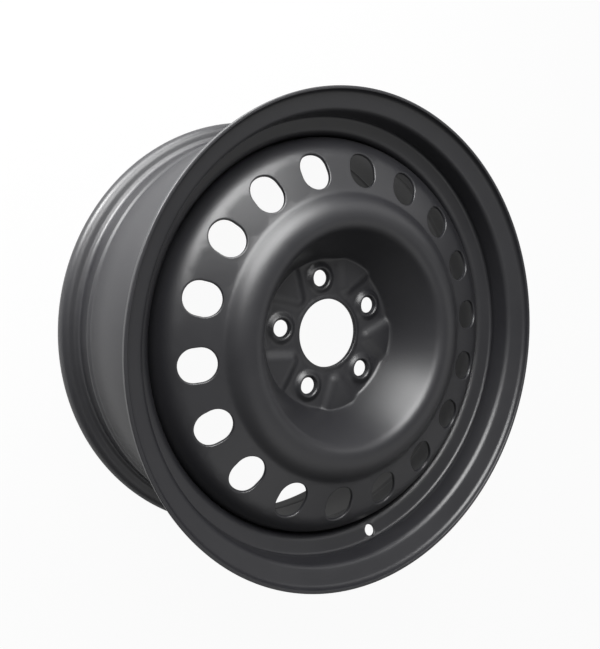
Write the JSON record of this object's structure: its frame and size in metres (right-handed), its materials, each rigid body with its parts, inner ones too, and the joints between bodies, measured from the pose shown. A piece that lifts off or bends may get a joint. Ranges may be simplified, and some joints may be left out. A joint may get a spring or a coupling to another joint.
{
  "type": "steel wheel rim",
  "caption": "Pressed steel car wheel: a drop-centre rim with a stamped disc welded inside, a domed ring of vent holes, a dished hub with raised pads, a centre bore and wheel nut holes.",
  "frame": {"origin": "centre of the hub mounting face, on the wheel's axis", "axes": "+Z along the wheel's axis towards its outboard side, +Y towards the first wheel nut hole, the valve hole at -Y"},
  "size_m": [0.4712, 0.471, 0.2016],
  "materials": {
    "rim_paint": "satin black dip coat",
    "disc_paint": "satin black dip coat",
    "weld_paint": "satin black dip coat over a rough bead"
  },
  "bodies": {
    "root": {"rim": "rim_paint", "disc": "disc_paint", "disc_welds": "weld_paint"}
  },
  "joints": []
}
